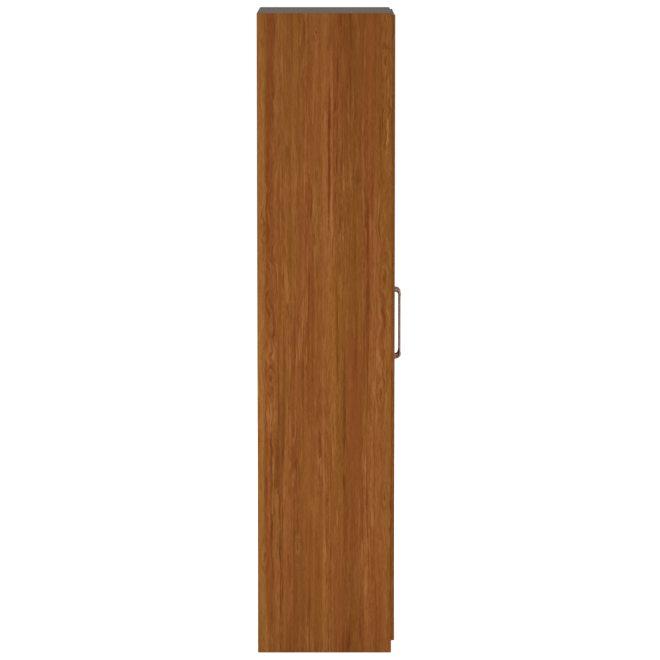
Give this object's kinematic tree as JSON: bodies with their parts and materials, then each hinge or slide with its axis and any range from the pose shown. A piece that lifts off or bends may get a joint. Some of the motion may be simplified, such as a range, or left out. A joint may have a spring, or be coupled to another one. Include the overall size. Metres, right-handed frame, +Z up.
{
  "type": "wardrobe",
  "caption": "Tall narrow wardrobe of wood-grain laminate boards, with half-inset slab doors on pivot hinges, slim bow handles, a hat shelf and a front-to-back hanging rail.",
  "frame": {"origin": "on the floor, at the middle of the overall width and of the overall depth with handles", "axes": "+X to the right as seen from the front, +Y to the back so that the doors face -Y, +Z up"},
  "size_m": [0.61, 0.459, 2.032],
  "materials": {
    "wood_laminate": "satin mid-brown wood-grain laminate, grain upright",
    "grey_laminate": "matt warm grey laminate",
    "hardboard": "matt hardboard",
    "satin_metal": "satin nickel",
    "rail_metal": "bright plated steel tube",
    "zinc_plate": "zinc plated",
    "white_nylon": "natural nylon",
    "brown_plastic": "brown moulded plastic",
    "ferrite": "dark sintered ferrite",
    "clear_rubber": "milky soft bumper"
  },
  "bodies": {
    "carcass": {"left_side_panel": "wood_laminate", "right_side_panel": "wood_laminate", "top_panel": "grey_laminate", "bottom_panel": "wood_laminate", "back_panel": "hardboard", "front_plinth": "wood_laminate", "rear_plinth": "wood_laminate", "hat_shelf": "wood_laminate", "shelf_pin_left_front": "zinc_plate", "shelf_pin_left_rear": "zinc_plate", "shelf_pin_right_front": "zinc_plate", "shelf_pin_right_rear": "zinc_plate", "hanging_rail": "rail_metal", "rail_bracket_front": "zinc_plate", "rail_bracket_rear": "zinc_plate", "cam_left_front": "zinc_plate", "cam_left_rear": "zinc_plate", "cam_right_front": "zinc_plate", "cam_right_rear": "zinc_plate", "cam_bolt_left_front": "zinc_plate", "cam_bolt_left_rear": "zinc_plate", "cam_bolt_right_front": "zinc_plate", "cam_bolt_right_rear": "zinc_plate", "left_top_pivot": "zinc_plate", "left_top_pivot_screw_1": "zinc_plate", "left_top_pivot_screw_2": "zinc_plate", "left_bottom_pivot": "zinc_plate", "left_bottom_pivot_screw_1": "zinc_plate", "left_bottom_pivot_screw_2": "zinc_plate", "right_top_pivot": "zinc_plate", "right_top_pivot_screw_1": "zinc_plate", "right_top_pivot_screw_2": "zinc_plate", "right_bottom_pivot": "zinc_plate", "right_bottom_pivot_screw_1": "zinc_plate", "right_bottom_pivot_screw_2": "zinc_plate", "left_catch_housing": "brown_plastic", "left_catch_magnet": "ferrite", "right_catch_housing": "brown_plastic", "right_catch_magnet": "ferrite"},
    "left_door": {"left_door": "wood_laminate", "left_handle": "satin_metal", "left_handle_screw_upper": "zinc_plate", "left_handle_screw_lower": "zinc_plate", "left_top_bush": "white_nylon", "left_bottom_bush": "white_nylon", "left_strike_plate": "zinc_plate", "left_strike_screw": "zinc_plate", "left_top_bumper": "clear_rubber", "left_bottom_bumper": "clear_rubber"},
    "right_door": {"right_door": "wood_laminate", "right_handle": "satin_metal", "right_handle_screw_upper": "zinc_plate", "right_handle_screw_lower": "zinc_plate", "right_top_bush": "white_nylon", "right_bottom_bush": "white_nylon", "right_strike_plate": "zinc_plate", "right_strike_screw": "zinc_plate", "right_top_bumper": "clear_rubber", "right_bottom_bumper": "clear_rubber"}
  },
  "joints": [
    {"name": "left_door_swing", "type": "hinge", "parent": "carcass", "child": "left_door", "pos_m": [-0.2885, -0.1995, 1], "axis": [0, 0, -1], "range_deg": [0, 120]},
    {"name": "right_door_swing", "type": "hinge", "parent": "carcass", "child": "right_door", "pos_m": [0.2885, -0.1995, 1], "axis": [0, 0, 1], "range_deg": [0, 120]}
  ]
}
